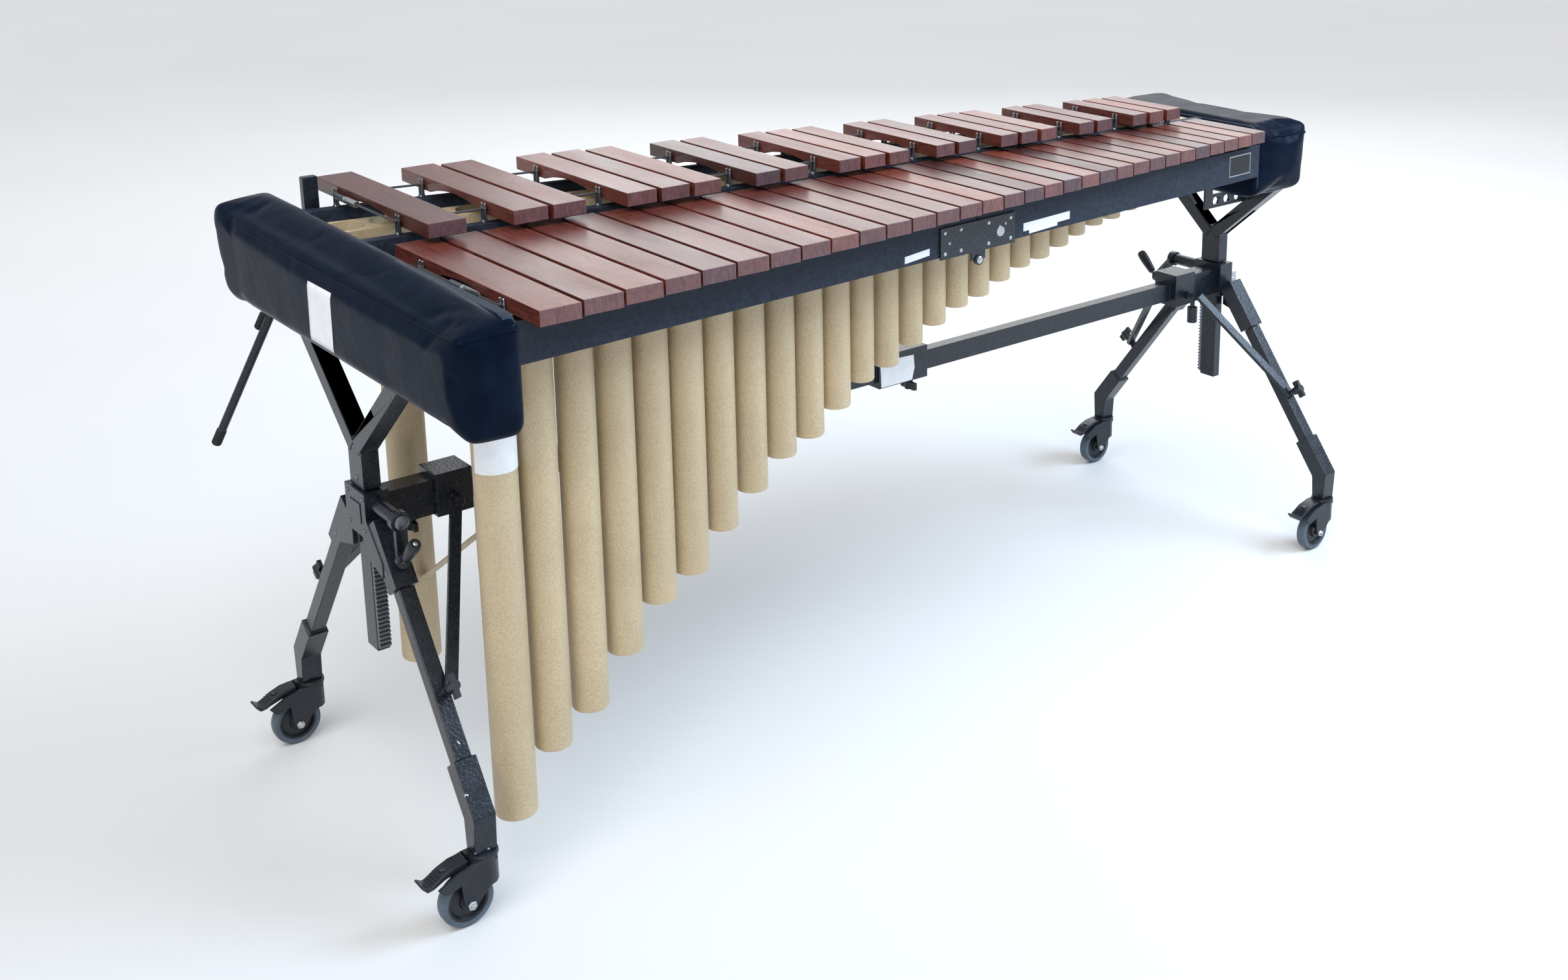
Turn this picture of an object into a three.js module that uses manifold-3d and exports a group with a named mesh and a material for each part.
// Concert marimba, A2 to C7, on a wheeled stand whose two columns wind up and down.
// Millimetres. X runs along the keyboard from the bass end to the treble end, Y from the
// player's side to the far side, and Z up. The whole model is moved at the end so that the
// origin is on the floor, under the middle of its outline.
import * as THREE from 'three';
import { mergeVertices } from 'three/addons/utils/BufferGeometryUtils.js';
import Module from 'manifold-3d';

const wasm = await Module();
wasm.setup();

// ---- Driving dimensions ------------------------------------------------------------

// Bars
const naturalCount = 31;
const bassBarWidth = 61;
const trebleBarWidth = 38;
const barGap = 6.5;
const barThickness = 22;
const naturalTop = 937;
const accidentalTop = 969;
const nodeFraction = 0.224; // where a free bar stands still, from each end
const cordRadius = 2.4;
const cordDepth = 13; // below the top of the bars
// Letters A to G repeat; these are the ones followed by a sharp.
const lettersWithSharp = [0, 2, 3, 5, 6];
// Ends of the bars, as straight lines from the bass end to the treble end.
const naturalFront = { bass: -427, treble: -280 };
const naturalBack = { bass: 11, treble: -110 };
const accidentalFront = { bass: -29, treble: -132 };
const accidentalBack = { bass: 396, treble: 28 };

// Resonators
const lowestPitch = 110; // hertz, A2
const speedOfSound = 343000; // millimetres a second
const pipeStock = [38, 44, 51, 57, 63]; // outside diameters
const pipeWall = 2;
const pipeSides = 10;
const naturalPipeTop = 889;
const accidentalPipeTop = 932;
const channelDepth = 12;

// Keyboard frame
const railSplit = 56; // x of the folding joint
const touchGap = 0.3; // between touching pieces
const railDrop = 12; // from the bars' underside to the rails
const postThickness = 3;
const endBoardThickness = 15;
const bassEnd = { inner: -872, outer: -957, front: -497, rear: 346, bottom: 806, top: 966 };
const trebleEnd = { inner: 829, outer: 985, front: -256, rear: 160, bottom: 792, top: 941 };

// Stand
const columnX = { bass: -864, treble: 1067 };
const standY = 46; // centre line of the stand
const columnWidth = 20;
const columnDepth = 38;
const rackDepth = 9;
const columnBottom = 305;
const collarBottom = 496;
const collarTop = 567.5;
const forkTop = 790;
const legSide = 25;
const sleeveSide = 35;
const sleeveMouth = { reach: 111, height: 440 };
const kneeTop = { reach: 268, height: 233 };
const stemReach = 317;
const kneeSide = 34;
const casterTop = 118;
const wheelRadius = 40;
const wheelTrail = 30;
const axleHeight = 50;
const stub = { from: 20, to: 96, halfDepth: 20, bottom: 500, top: 556 };
const clampLength = 60;
const beamBottom = 508;
const beamTop = 546;
const beamHalfDepth = 13;
const beamJointX = 225;
const crankReach = 115; // in front of the column
const crankHeight = 548;
const crankArm = 62;

// ---- Shape helpers -----------------------------------------------------------------

const X = new THREE.Vector3(1, 0, 0);
const Y = new THREE.Vector3(0, 1, 0);
const Z = new THREE.Vector3(0, 0, 1);
const point = (x, y, z) => new THREE.Vector3(x, y, z);

function toSolid(geometry) {
  const bare = geometry.clone();
  bare.deleteAttribute('normal');
  bare.deleteAttribute('uv');
  const merged = mergeVertices(bare, 1e-4);
  const vertProperties = new Float32Array(merged.attributes.position.array);
  const triVerts = new Uint32Array(merged.index.array);
  return new wasm.Manifold(new wasm.Mesh({ numProp: 3, vertProperties, triVerts }));
}

function toGeometry(solid) {
  const mesh = solid.getMesh();
  const geometry = new THREE.BufferGeometry();
  geometry.setAttribute('position', new THREE.BufferAttribute(mesh.vertProperties, 3));
  geometry.setIndex(new THREE.BufferAttribute(mesh.triVerts, 1));
  return geometry;
}

// Joins every piece of the first list and cuts away every piece of the second.
function shape(joined, removed = []) {
  let solid = toSolid(joined[0]);
  for (const piece of joined.slice(1)) solid = solid.add(toSolid(piece));
  for (const piece of removed) solid = solid.subtract(toSolid(piece));
  return toGeometry(solid);
}

function block([x0, x1], [y0, y1], [z0, z1]) {
  const box = new THREE.BoxGeometry(x1 - x0, y1 - y0, z1 - z0);
  return box.translate((x0 + x1) / 2, (y0 + y1) / 2, (z0 + z1) / 2);
}

function extrude(outline, depth) {
  const flat = new THREE.Shape(outline.map(([a, b]) => new THREE.Vector2(a, b)));
  return new THREE.ExtrudeGeometry(flat, { depth, bevelEnabled: false });
}

// An outline of [y, z] points swept from x0 to x1.
function alongX(outline, x0, x1) {
  const turn = new THREE.Matrix4().makeBasis(Y, Z, X);
  return extrude(outline, x1 - x0).applyMatrix4(turn).translate(x0, 0, 0);
}

// An outline of [x, z] points swept from y0 to y1.
function alongY(outline, y0, y1) {
  const turn = new THREE.Matrix4().makeBasis(X, Z, Y.clone().negate());
  return extrude(outline, y1 - y0).applyMatrix4(turn).translate(0, y1, 0);
}

// An outline of [x, y] points swept from z0 to z1.
function alongZ(outline, z0, z1) {
  return extrude(outline, z1 - z0).translate(0, 0, z0);
}

function rod(from, to, radius, sides = 12) {
  const run = to.clone().sub(from);
  const turn = new THREE.Quaternion().setFromUnitVectors(Y, run.clone().normalize());
  const middle = from.clone().add(to).multiplyScalar(0.5);
  return new THREE.CylinderGeometry(radius, radius, run.length(), sides)
    .applyQuaternion(turn)
    .translate(middle.x, middle.y, middle.z);
}

// A rectangular bar between two points; its thickness lies along the given normal.
function strut(from, to, width, thickness, normal) {
  const run = to.clone().sub(from);
  const length = run.length();
  const side = new THREE.Vector3().crossVectors(normal, run).normalize();
  const face = new THREE.Vector3().crossVectors(run.normalize(), side);
  const middle = from.clone().add(to).multiplyScalar(0.5);
  return new THREE.BoxGeometry(width, thickness, length)
    .applyMatrix4(new THREE.Matrix4().makeBasis(side, face, run).setPosition(middle));
}

function roundedOutline(a0, a1, b0, b1, radius) {
  const outline = [];
  const corners = [[a1, b0, -90], [a1, b1, 0], [a0, b1, 90], [a0, b0, 180]];
  for (const [a, b, start] of corners) {
    const centreA = a === a1 ? a - radius : a + radius;
    const centreB = b === b1 ? b - radius : b + radius;
    for (const step of [0, 30, 60, 90]) {
      const angle = THREE.MathUtils.degToRad(start + step);
      outline.push([centreA + radius * Math.cos(angle), centreB + radius * Math.sin(angle)]);
    }
  }
  return outline;
}

const finishes = {
  wood: { color: 0x6e2f22, roughness: 0.55, metalness: 0 },
  gold: { color: 0xb39a6b, roughness: 0.6, metalness: 0.4 },
  board: { color: 0x23282f, roughness: 0.7, metalness: 0 },
  vinyl: { color: 0x181c24, roughness: 0.45, metalness: 0 },
  paint: { color: 0x15181c, roughness: 0.4, metalness: 0.5 },
  plastic: { color: 0x111214, roughness: 0.5, metalness: 0 },
  tyre: { color: 0x5d6870, roughness: 0.6, metalness: 0 },
};

function add(parent, name, geometry, finish) {
  const mesh = new THREE.Mesh(geometry, new THREE.MeshStandardMaterial(finishes[finish]));
  mesh.name = name;
  parent.add(mesh);
}

const marimba = new THREE.Group();

// ---- Layout of the keyboard --------------------------------------------------------

function naturalWidth(index) {
  const fromTreble = 1 - index / (naturalCount - 1);
  return trebleBarWidth + (bassBarWidth - trebleBarWidth) * fromTreble ** 2;
}

const naturals = [];
let keyboardEnd = 0;
for (let index = 0; index < naturalCount; index++) {
  const width = naturalWidth(index);
  naturals.push({ left: keyboardEnd, width });
  keyboardEnd += width + barGap;
}
const keyboardSpan = keyboardEnd - barGap;
const bassX = -keyboardSpan / 2;
const trebleX = keyboardSpan / 2;

// Height or depth of a straight line at a place along the keyboard.
const along = (line, x) => line.bass + ((line.treble - line.bass) * (x - bassX)) / keyboardSpan;

// How many semitones the natural with this index lies above the lowest bar.
const semitones = (index) => [0, 2, 3, 5, 7, 8, 10][index % 7] + 12 * Math.floor(index / 7);

function bar(centre, width, frontLine, backLine, semitone) {
  const front = along(frontLine, centre);
  const back = along(backLine, centre);
  return { centre, width, front, back, semitone };
}

const naturalBars = naturals.map(({ left, width }, index) =>
  bar(bassX + left + width / 2, width, naturalFront, naturalBack, semitones(index)));

const accidentalBars = [];
for (let index = 0; index < naturalCount - 1; index++) {
  if (!lettersWithSharp.includes(index % 7)) continue;
  const low = naturalBars[index];
  const high = naturalBars[index + 1];
  const centre = low.centre + (low.width + barGap) / 2;
  const width = (low.width + high.width) / 2;
  accidentalBars.push(bar(centre, width, accidentalFront, accidentalBack, low.semitone + 1));
}

// Lines that the cords follow, one fraction in from each end of the bars.
function cordLine(nearLine, farLine) {
  const inFrom = (end) => nearLine[end] + (farLine[end] - nearLine[end]) * nodeFraction;
  return { bass: inFrom('bass'), treble: inFrom('treble') };
}

const naturalFrontCord = cordLine(naturalFront, naturalBack);
const naturalBackCord = cordLine(naturalBack, naturalFront);
const accidentalFrontCord = cordLine(accidentalFront, accidentalBack);
const accidentalBackCord = cordLine(accidentalBack, accidentalFront);

// ---- Bars strung on their cords ----------------------------------------------------

// Side view of a tuned bar: flat ends, and an arch between the cord holes.
function barOutline({ front, back, semitone }, top) {
  const length = back - front;
  const bottom = top - barThickness;
  const archHeight = 13 - 7 * (semitone / 51);
  const archStart = 0.27;
  const outline = [[front, top], [front, bottom]];
  for (const step of [0, 0.25, 0.5, 0.75, 1]) {
    const place = front + length * (archStart + (1 - 2 * archStart) * step);
    outline.push([place, bottom + archHeight * Math.sin(Math.PI * step)]);
  }
  outline.push([back, bottom], [back, top]);
  return outline;
}

function strungBars(bars, top, cordLines) {
  const pieces = bars.map((each) => {
    const left = each.centre - each.width / 2;
    return alongX(barOutline(each, top), left, left + each.width);
  });
  const bassHook = bassEnd.inner + 1;
  const trebleHook = trebleEnd.inner - 1;
  for (const line of cordLines) {
    const start = point(bassHook, along(line, bassHook), top - cordDepth);
    const end = point(trebleHook, along(line, trebleHook), top - cordDepth);
    pieces.push(rod(start, end, cordRadius, 4));
  }
  return shape(pieces);
}

const naturalCords = [naturalFrontCord, naturalBackCord];
const accidentalCords = [accidentalFrontCord, accidentalBackCord];
add(marimba, 'natural_bar_set', strungBars(naturalBars, naturalTop, naturalCords), 'wood');
add(marimba, 'accidental_bar_set',
  strungBars(accidentalBars, accidentalTop, accidentalCords), 'wood');

// ---- Rails with their cord posts ---------------------------------------------------

// Places between and beside the bars, where a post can stand.
function postPlaces(bars) {
  const places = [];
  bars.forEach((each, index) => {
    const left = each.centre - each.width / 2 - barGap / 2;
    const right = each.centre + each.width / 2 + barGap / 2;
    const last = places[places.length - 1];
    if (index === 0 || left - last > barGap) places.push(left);
    places.push(right);
  });
  return places;
}

function railPieces(line, [from, to], thickness, [bottom, top], bars, barTop) {
  const half = thickness / 2;
  const plan = [
    [from, along(line, from) - half],
    [to, along(line, to) - half],
    [to, along(line, to) + half],
    [from, along(line, from) + half],
  ];
  const pieces = [alongZ(plan, bottom, top)];
  const postTop = barTop - cordDepth - 1.5 * cordRadius;
  for (const x of postPlaces(bars)) {
    if (x < from + 5 || x > to - 5) continue;
    const y = along(line, x);
    const halfPost = postThickness / 2;
    pieces.push(block([x - halfPost, x + halfPost], [y - 5, y + 5], [top - 5, postTop]));
  }
  return pieces;
}

const naturalRailTop = naturalTop - barThickness - railDrop;
const accidentalRailTop = accidentalTop - barThickness - railDrop;
const frontRail = { thickness: 26, heights: [840, naturalRailTop] };
const rearRail = { thickness: 22, heights: [850, accidentalRailTop] };
const innerThickness = 18;
const innerDepth = 42;

const halves = {
  bass: [bassEnd.inner + touchGap, railSplit - touchGap],
  treble: [railSplit + touchGap, trebleEnd.inner - touchGap],
};

function innerRails(range) {
  const naturalHeights = [naturalRailTop - innerDepth, naturalRailTop];
  const accidentalHeights = [accidentalRailTop - innerDepth, accidentalRailTop];
  const pieces = [
    ...railPieces(naturalBackCord, range, innerThickness, naturalHeights, naturalBars, naturalTop),
    ...railPieces(accidentalFrontCord, range, innerThickness, accidentalHeights, accidentalBars,
      accidentalTop),
  ];
  // Cross blocks hold the two inner rails apart.
  const [from, to] = range;
  for (const share of [0.1, 0.5, 0.9]) {
    const x = from + (to - from) * share;
    const nearY = along(naturalBackCord, x);
    const farY = along(accidentalFrontCord, x);
    const blockHeights = [accidentalRailTop - innerDepth, naturalRailTop - 2];
    pieces.push(block([x - 14, x + 14], [nearY, farY], blockHeights));
  }
  return shape(pieces);
}

for (const [end, range] of Object.entries(halves)) {
  const front = railPieces(naturalFrontCord, range, frontRail.thickness, frontRail.heights,
    naturalBars, naturalTop);
  const rear = railPieces(accidentalBackCord, range, rearRail.thickness, rearRail.heights,
    accidentalBars, accidentalTop);
  add(marimba, `front_rail_${end}`, shape(front), 'board');
  add(marimba, `inner_rails_${end}`, innerRails(range), 'board');
  add(marimba, `rear_rail_${end}`, shape(rear), 'board');
}

// Folding hinge: two leaves on the outer face, and a lobe around the pivot below the rail.
function railHinge(line, thickness, side, heights) {
  const leafThickness = 3;
  const pivotZ = heights[0] - 17;
  const face = (x) => along(line, x) + side * (thickness / 2 + touchGap);
  const plate = (reach, bottom, top) => {
    const [from, to] = [railSplit - reach, railSplit + reach];
    const plan = [
      [from, face(from)],
      [to, face(to)],
      [to, face(to) + side * leafThickness],
      [from, face(from) + side * leafThickness],
    ];
    if (side < 0) plan.reverse();
    return alongZ(plan, bottom, top);
  };
  const inner = face(railSplit);
  const lobe = rod(point(railSplit, inner, pivotZ), point(railSplit, inner + side * 6, pivotZ), 9);
  return shape([
    plate(86, heights[0] - 3, heights[1] - 14),
    plate(16, pivotZ, heights[0]),
    lobe,
  ]);
}

add(marimba, 'front_rail_hinge',
  railHinge(naturalFrontCord, frontRail.thickness, -1, frontRail.heights), 'paint');
add(marimba, 'rear_rail_hinge',
  railHinge(accidentalBackCord, rearRail.thickness, 1, rearRail.heights), 'paint');

// ---- End boards and their pads -----------------------------------------------------

function endPieces(name, end) {
  const outward = Math.sign(end.outer - end.inner);
  const boardOuter = end.inner + outward * endBoardThickness;
  const padInner = boardOuter + outward * touchGap;
  const boardSides = [end.inner, boardOuter].sort((a, b) => a - b);
  const padSides = [padInner, end.outer].sort((a, b) => a - b);
  const inset = 5;
  const board = roundedOutline(end.front + inset, end.rear - inset, end.bottom + inset,
    end.top - inset, 24);
  const pad = roundedOutline(end.front, end.rear, end.bottom, end.top, 34);
  add(marimba, `end_board_${name}`, alongX(board, ...boardSides), 'board');
  add(marimba, `end_pad_${name}`, alongX(pad, ...padSides), 'vinyl');
}

endPieces('bass', bassEnd);
endPieces('treble', trebleEnd);

// ---- Resonators --------------------------------------------------------------------

const pipeLength = (semitone) => speedOfSound / (4 * lowestPitch * 2 ** (semitone / 12));

function pipeDiameter(width) {
  const room = width + barGap - 3;
  return Math.max(...pipeStock.filter((size) => size <= room));
}

function resonatorBank(bars, top, [from, to]) {
  const first = bars[0];
  const last = bars[bars.length - 1];
  const midY = (each) => (each.front + each.back) / 2;
  const slope = (midY(last) - midY(first)) / (last.centre - first.centre);
  const channelY = (x) => midY(first) + slope * (x - first.centre);
  const halfAt = (each) => pipeDiameter(each.width) / 2 + 8;
  const plan = [
    [from, channelY(from) - halfAt(first)],
    [to, channelY(to) - halfAt(last)],
    [to, channelY(to) + halfAt(last)],
    [from, channelY(from) + halfAt(first)],
  ];
  const outer = [alongZ(plan, top - channelDepth, top)];
  const bores = [];
  for (const each of bars) {
    const y = midY(each);
    const bottom = top - pipeLength(each.semitone);
    const radius = pipeDiameter(each.width) / 2;
    const low = point(each.centre, y, bottom);
    const high = point(each.centre, y, top - channelDepth / 2);
    const floor = point(each.centre, y, bottom + pipeWall);
    const mouth = point(each.centre, y, top + 1);
    outer.push(rod(low, high, radius, pipeSides));
    bores.push(rod(floor, mouth, radius - pipeWall, pipeSides));
  }
  return shape(outer, bores);
}

function resonatorBanks(row, bars, top) {
  const bassBars = bars.filter((each) => each.centre < railSplit);
  const trebleBars = bars.filter((each) => each.centre > railSplit);
  const seam = (bassBars[bassBars.length - 1].centre + trebleBars[0].centre) / 2;
  const bassRange = [bassEnd.inner + 4, seam - 1];
  const trebleRange = [seam + 1, trebleEnd.inner - 4];
  add(marimba, `${row}_resonators_bass`, resonatorBank(bassBars, top, bassRange), 'gold');
  add(marimba, `${row}_resonators_treble`, resonatorBank(trebleBars, top, trebleRange), 'gold');
}

resonatorBanks('natural', naturalBars, naturalPipeTop);
resonatorBanks('accidental', accidentalBars, accidentalPipeTop);

// A strap ties the second natural pipe to the longest accidental pipe. It passes under the
// cross beam, which is what limits how far the keyboard can be raised with it in place.
const strapClear = pipeStock[pipeStock.length - 1] / 2 + 3;
const strapFrom = point(
  naturalBars[1].centre + 4,
  (naturalBars[1].front + naturalBars[1].back) / 2 + strapClear,
  583,
);
const strapTo = point(
  accidentalBars[0].centre - 2,
  (accidentalBars[0].front + accidentalBars[0].back) / 2 - strapClear,
  345,
);
add(marimba, 'resonator_strap', strut(strapFrom, strapTo, 24, 2.5, Z), 'gold');

// ---- Stand: one unit at each end, turned half round from each other ----------------

const stubScrewX = 66; // from the column

const legRun = new THREE.Vector2(
  kneeTop.reach - sleeveMouth.reach,
  kneeTop.height - sleeveMouth.height,
).normalize();
// Square to the leg, pointing out and up.
const legOut = new THREE.Vector2(-legRun.y, legRun.x);

// A point on the leg's centre line at a height, moved out from the line by an offset.
function legPoint(height, offset = 0) {
  const travel = (height - sleeveMouth.height) / legRun.y;
  const reach = sleeveMouth.reach + travel * legRun.x;
  return { reach: reach + legOut.x * offset, height: height + legOut.y * offset };
}

// side is -1 or +1: towards the near or the far end of the unit's own Y axis.
const inUnit = (x, side, { reach, height }) => point(x, side * reach, height);

function hub(screwed) {
  const joined = [block([-19, 20], [-36, 36], [collarBottom, collarTop])];
  if (screwed) {
    joined.push(rod(point(stubScrewX, 0, 470), point(stubScrewX, 0, stub.bottom + 1), 5));
    joined.push(rod(point(stubScrewX, 0, 440), point(stubScrewX, 0, 474), 11));
  }
  joined.push(block([stub.from - 1, stub.to], [-stub.halfDepth, stub.halfDepth],
    [stub.bottom, stub.top]));
  // The crank's shaft housing.
  joined.push(rod(point(0, -30, crankHeight), point(0, -crankReach + 8, crankHeight), 12));
  for (const side of [-1, 1]) {
    const start = inUnit(0, side, legPoint(525));
    const mouth = inUnit(0, side, sleeveMouth);
    joined.push(strut(start, mouth, sleeveSide, sleeveSide, X));
    const cheek = [
      [side * 20, collarBottom + 30],
      [side * 36, collarBottom + 30],
      [side * 84, 474],
      [side * 84, 452],
      [side * 20, 470],
    ];
    if (side > 0) cheek.reverse();
    joined.push(alongX(cheek, -19, -11));
  }
  const columnHole = block([-columnWidth / 2 - 0.6, columnWidth / 2 + 0.6],
    [-columnDepth / 2 - rackDepth - 0.6, columnDepth / 2 + 0.6], [400, 600]);
  return shape(joined, [columnHole]);
}

function column() {
  const halfWidth = columnWidth / 2;
  const halfDepth = columnDepth / 2;
  const tube = block([-halfWidth, halfWidth], [-halfDepth, halfDepth], [columnBottom, 568.3]);
  const rack = block([-halfWidth + 1, halfWidth - 1], [-halfDepth - rackDepth, -halfDepth + 1],
    [columnBottom + 6, 560]);
  return shape([tube, rack]);
}

function fork(padBottom) {
  const joined = [block([-13.5, 13.5], [-24, 24], [568.6, 648])];
  for (const side of [-1, 1]) {
    const low = point(0, side * 6, 632);
    const high = point(0, side * 168, forkTop - 16);
    joined.push(strut(low, high, 27, 30, X));
  }
  joined.push(block([-13.5, 13.5], [-190, 190], [forkTop - 22, padBottom - touchGap]));
  return joined;
}

// Perforated plates carry the fork, which stands outside the end board.
function forkPlate(side, end, unitX) {
  const reach = unitX - end.outer + 70;
  const y = side * 94;
  const plate = block([0, reach], [y - 2.5, y + 2.5], [722, 752]);
  const tab = block([reach - 24, reach], [y - 2.5, y + 2.5], [750, end.bottom - touchGap]);
  return [plate, tab];
}

function forkPlateHoles(side) {
  const y = side * 94;
  return [50, 84, 118].map((x) => rod(point(x, y - 4, 737), point(x, y + 4, 737), 9, 8));
}

function leg(side) {
  const start = inUnit(0, side, legPoint(sleeveMouth.height - 0.4));
  const end = inUnit(0, side, legPoint(kneeTop.height - 12));
  const half = kneeSide / 2;
  const upperOut = legPoint(kneeTop.height, half);
  const upperIn = legPoint(kneeTop.height, -half);
  const outerBend = (stemReach + half - upperOut.reach) * (legRun.y / legRun.x);
  const innerBend = (stemReach - half - upperIn.reach) * (legRun.y / legRun.x);
  const knee = [
    [side * upperOut.reach, upperOut.height],
    [side * (stemReach + half), upperOut.height + outerBend],
    [side * (stemReach + half - 3), casterTop],
    [side * (stemReach - half + 3), casterTop],
    [side * (stemReach - half), upperIn.height + innerBend],
    [side * upperIn.reach, upperIn.height],
  ];
  if (side > 0) knee.reverse();
  return shape([strut(start, end, legSide, legSide, X), alongX(knee, -half, half)]);
}

const braceHigh = { x: 113, reach: 58, height: 520 };
const braceLow = { x: 10, ...legPoint(310, 24) };
const braceWidth = 18;
const braceThickness = 8;

function brace(side) {
  const high = inUnit(braceHigh.x, side, braceHigh);
  const low = inUnit(braceLow.x, side, braceLow);
  const out = point(0, side * legOut.x, legOut.y);
  const bossFrom = inUnit(6, side, legPoint(310, legSide / 2 + touchGap));
  const bossTo = inUnit(6, side, legPoint(310, 24));
  return shape([strut(high, low, braceWidth, braceThickness, out), rod(bossFrom, bossTo, 8)]);
}

function wingKnob(from, direction, span) {
  const to = from.clone().addScaledVector(direction, 22);
  const across = new THREE.Vector3().crossVectors(direction, X);
  const middle = from.clone().addScaledVector(direction, 15);
  const wingFrom = middle.clone().addScaledVector(across, -span / 2);
  const wingTo = middle.clone().addScaledVector(across, span / 2);
  return shape([rod(from, to, 8), strut(wingFrom, wingTo, 14, 7, X)]);
}

function braceKnob(side) {
  const out = point(0, side * legOut.x, legOut.y);
  return wingKnob(inUnit(6, side, legPoint(310, 24 + 9)), out, 36);
}

// The treble crank is left pointing in towards the middle; the bass one hangs down.
function crank(armAngle) {
  const y = -crankReach;
  const shaft = rod(point(0, y + 7.6, 0), point(0, y - 6, 0), 16);
  const arm = strut(point(0, y, 0), point(0, y, -crankArm - 4), 18, 9, Y);
  const eye = rod(point(0, y + 5, -crankArm), point(0, y - 6, -crankArm), 11);
  return shape([shaft, arm, eye]).rotateY(armAngle).translate(0, 0, crankHeight);
}

// The grip leans up and forward from the end of the arm.
function crankGrip(armAngle) {
  const eye = point(0, -crankReach - 6.4, -crankArm).applyAxisAngle(Y, armAngle);
  eye.z += crankHeight;
  const lean = point(0, -Math.SQRT1_2, Math.SQRT1_2);
  const from = eye.clone().addScaledVector(lean, 11);
  return rod(from, eye.clone().addScaledVector(lean, 64), 10);
}

const units = [
  { name: 'bass', turn: 0, near: 'front', far: 'rear', arm: 0 },
  { name: 'treble', turn: Math.PI, near: 'rear', far: 'front', arm: -1.03 },
];

for (const { name, turn, near, far, arm } of units) {
  const unit = new THREE.Group();
  unit.position.set(columnX[name], standY, 0);
  unit.rotation.z = turn;
  marimba.add(unit);
  const end = name === 'bass' ? bassEnd : trebleEnd;
  add(unit, `column_${name}`, column(), 'paint');
  const forkJoined = fork(name === 'bass' ? end.bottom : forkTop);
  const forkRemoved = [];
  if (name === 'treble') {
    for (const side of [-1, 1]) {
      forkJoined.push(...forkPlate(side, end, columnX.treble));
      forkRemoved.push(...forkPlateHoles(side));
    }
  }
  add(unit, `fork_${name}`, shape(forkJoined, forkRemoved), 'paint');
  add(unit, `hub_${name}`, hub(name === 'treble'), 'paint');
  add(unit, `crank_${name}`, crank(arm), 'paint');
  add(unit, `crank_grip_${name}`, crankGrip(arm), 'plastic');
  for (const [side, place] of [[-1, near], [1, far]]) {
    add(unit, `leg_${place}_${name}`, leg(side), 'paint');
    add(unit, `brace_${place}_${name}`, brace(side), 'paint');
    add(unit, `brace_knob_${place}_${name}`, braceKnob(side), 'plastic');
  }
}

// ---- Cross beam --------------------------------------------------------------------

function clampPieces(inner, outer) {
  const [x0, x1] = [inner, outer].sort((a, b) => a - b);
  const middle = (x0 + x1) / 2;
  const body = block([x0, x1], [standY - 30, standY + 30], [497, 566]);
  const bosses = [-1, 1].map((side) =>
    rod(point(middle, standY + side * 26, 521), point(middle, standY + side * 47, 521), 9));
  return [body, ...bosses];
}

const beamRange = {
  bass: columnX.bass + stub.to + touchGap,
  treble: columnX.treble - stub.to - touchGap,
};
const beamDepth = [standY - beamHalfDepth, standY + beamHalfDepth];
const bassClampEnd = beamRange.bass + clampLength;
const trebleClampEnd = beamRange.treble - clampLength;

// The joint sleeve is fixed to the bass half of the beam.
const jointSleeve = block([beamJointX - 118, beamJointX - touchGap], [standY - 20, standY + 20],
  [497, 560]);
const bassBeam = block([bassClampEnd - 4, beamJointX - 100], beamDepth, [beamBottom, beamTop]);
const trebleBeam = block([beamJointX, trebleClampEnd + 4], beamDepth, [beamBottom, beamTop]);
add(marimba, 'beam_bass',
  shape([...clampPieces(beamRange.bass, bassClampEnd), bassBeam, jointSleeve]), 'paint');
add(marimba, 'beam_treble',
  shape([...clampPieces(beamRange.treble, trebleClampEnd), trebleBeam]), 'paint');

const down = point(0, 0, -1);
add(marimba, 'beam_joint_screw',
  wingKnob(point(beamJointX - 30, standY, 497 - touchGap), down, 40), 'plastic');
add(marimba, 'stub_screw_bass',
  wingKnob(point(columnX.bass + stubScrewX, standY, stub.bottom - touchGap), down, 34), 'plastic');

// A wing screw on the outer face of the treble hub steadies its column.
const lockFrom = point(columnX.treble + 19 + touchGap, standY - 26, 526);
add(marimba, 'column_lock_treble',
  shape([
    rod(lockFrom, lockFrom.clone().add(point(12, 0, 0)), 6),
    block([lockFrom.x + 8, lockFrom.x + 24], [lockFrom.y - 2, lockFrom.y + 2],
      [lockFrom.z - 15, lockFrom.z + 15]),
  ]), 'plastic');

// ---- Casters -----------------------------------------------------------------------

// Every caster trails towards the bass end. These are built around its swivel axis.
const cheekInner = 17;
const cheekOuter = 21;
const forkRoof = 112;

// A half ring, open towards the wheel, that closes the fork's leading side.
function forkSkirt() {
  const outline = [];
  for (const angle of [-90, -60, -30, 0, 30, 60, 90]) {
    const turn = THREE.MathUtils.degToRad(angle);
    outline.push([cheekOuter * Math.cos(turn), cheekOuter * Math.sin(turn)]);
  }
  for (const angle of [90, 60, 30, 0, -30, -60, -90]) {
    const turn = THREE.MathUtils.degToRad(angle);
    outline.push([cheekInner * Math.cos(turn), cheekInner * Math.sin(turn)]);
  }
  return alongZ(outline, 68, forkRoof - 1);
}

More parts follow.
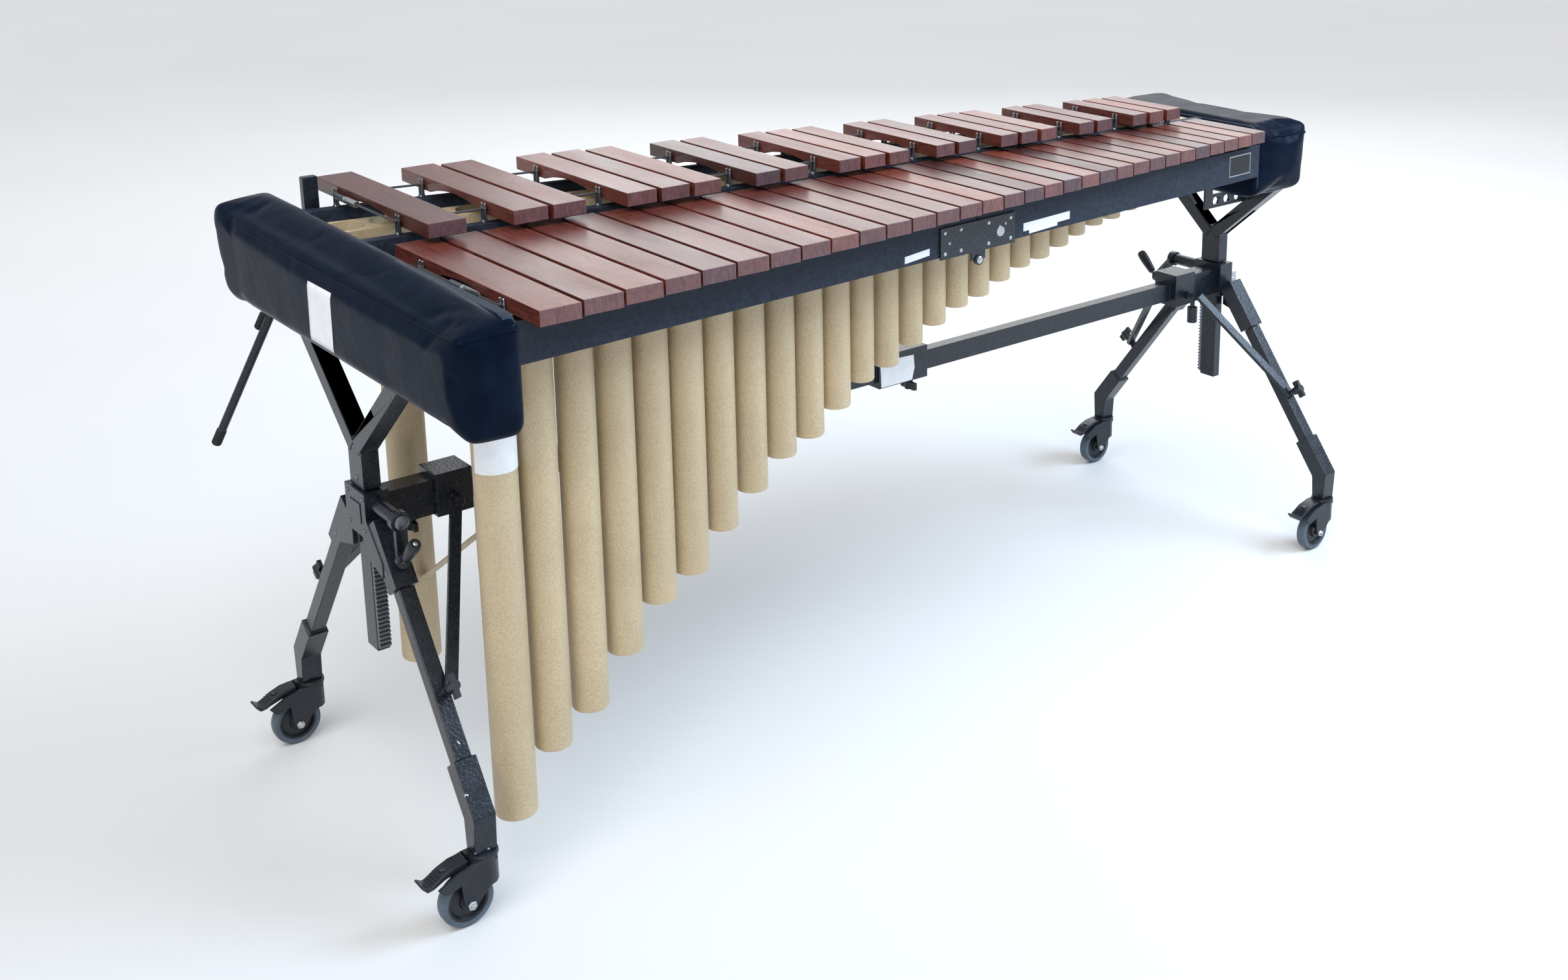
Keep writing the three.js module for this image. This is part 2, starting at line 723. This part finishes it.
function casterFork() {
  const cheek = [
    [2, forkRoof], [2, 70], [-22, 46], [-30, 43], [-39, 48], [-41, 58], [-43, 86],
    [-62, 80], [-69, 82], [-77, 92], [-50, 106], [-23, forkRoof],
  ].reverse();
  const axle = rod(point(-wheelTrail, -cheekOuter - 4, axleHeight),
    point(-wheelTrail, cheekOuter + 4, axleHeight), 5);
  return shape([
    alongY(cheek, -cheekOuter, -cheekInner),
    alongY(cheek, cheekInner, cheekOuter),
    forkSkirt(),
    block([-22, 14], [-cheekInner - 1, cheekInner + 1], [104, forkRoof]),
    rod(point(0, 0, forkRoof - 4), point(0, 0, casterTop - touchGap), 22, 16),
    axle,
  ]);
}

function wheel() {
  const profile = [
    [5.3, -14], [13, -14], [13, -8], [31, -8], [31, -11], [wheelRadius, -11],
    [wheelRadius, 11], [31, 11], [31, 8], [13, 8], [13, 14], [5.3, 14], [5.3, -14],
  ].map(([radius, across]) => new THREE.Vector2(radius, across));
  return new THREE.LatheGeometry(profile, 20).translate(-wheelTrail, 0, axleHeight);
}

// A ribbed lever between the cheeks, with a toe plate beyond them.
function brakePedal() {
  const lever = [
    [-27, 118], [-27, 114], [-52, 103], [-72, 90], [-78, 90], [-98, 93], [-99, 98],
    [-80, 101], [-54, 113],
  ].reverse();
  return alongY(lever, -15, 15);
}

for (const end of ['bass', 'treble']) {
  for (const [side, place] of [[-1, 'front'], [1, 'rear']]) {
    const caster = new THREE.Group();
    caster.position.set(columnX[end], standY + side * stemReach, 0);
    marimba.add(caster);
    add(caster, `caster_${place}_${end}`, casterFork(), 'plastic');
    add(caster, `wheel_${place}_${end}`, wheel(), 'tyre');
    add(caster, `brake_pedal_${place}_${end}`, brakePedal(), 'plastic');
  }
}

// ---- Rear rods: two capped rods on a clamp at the bass end of the rear rail ---------

const rodPivot = point(-806, 344, 872);
const rodDirection = point(-130, 114, -346).normalize();
// The rail runs at a slant, so the clamp's flat face is set clear of its bass end.
const rearRailFace = along(accidentalBackCord, rodPivot.x - 16) + rearRail.thickness / 2;

const clampBody = block([rodPivot.x - 16, rodPivot.x + 16],
  [rearRailFace + touchGap, rodPivot.y - 12], [rodPivot.z - 16, rodPivot.z + 16]);
const clampTop = block([rodPivot.x - 14, rodPivot.x + 10],
  [rearRailFace + touchGap, rearRailFace + 14], [rodPivot.z, 985]);
add(marimba, 'rear_rod_clamp', shape([clampBody, clampTop]), 'paint');

function rearRods() {
  const hubFrom = point(rodPivot.x - 14, rodPivot.y - 11, rodPivot.z);
  const hubTo = point(rodPivot.x - 14, rodPivot.y + 34, rodPivot.z);
  const longStart = rodPivot.clone().add(point(-14, 2, 0));
  const shortStart = rodPivot.clone().add(point(-14, 24, 0));
  const longEnd = longStart.clone().addScaledVector(rodDirection, 382);
  const shortEnd = shortStart.clone().addScaledVector(rodDirection, 165);
  return shape([
    rod(hubFrom, hubTo, 12),
    rod(longStart, longEnd, 8),
    rod(shortStart, shortEnd, 8),
  ]);
}

add(marimba, 'rear_rods', rearRods(), 'paint');

// ---- Origin on the floor, under the middle of the outline --------------------------

const outline = new THREE.Box3().setFromObject(marimba, true);
const middle = outline.getCenter(new THREE.Vector3());
marimba.position.set(-middle.x, -middle.y, -outline.min.z);

export default marimba;
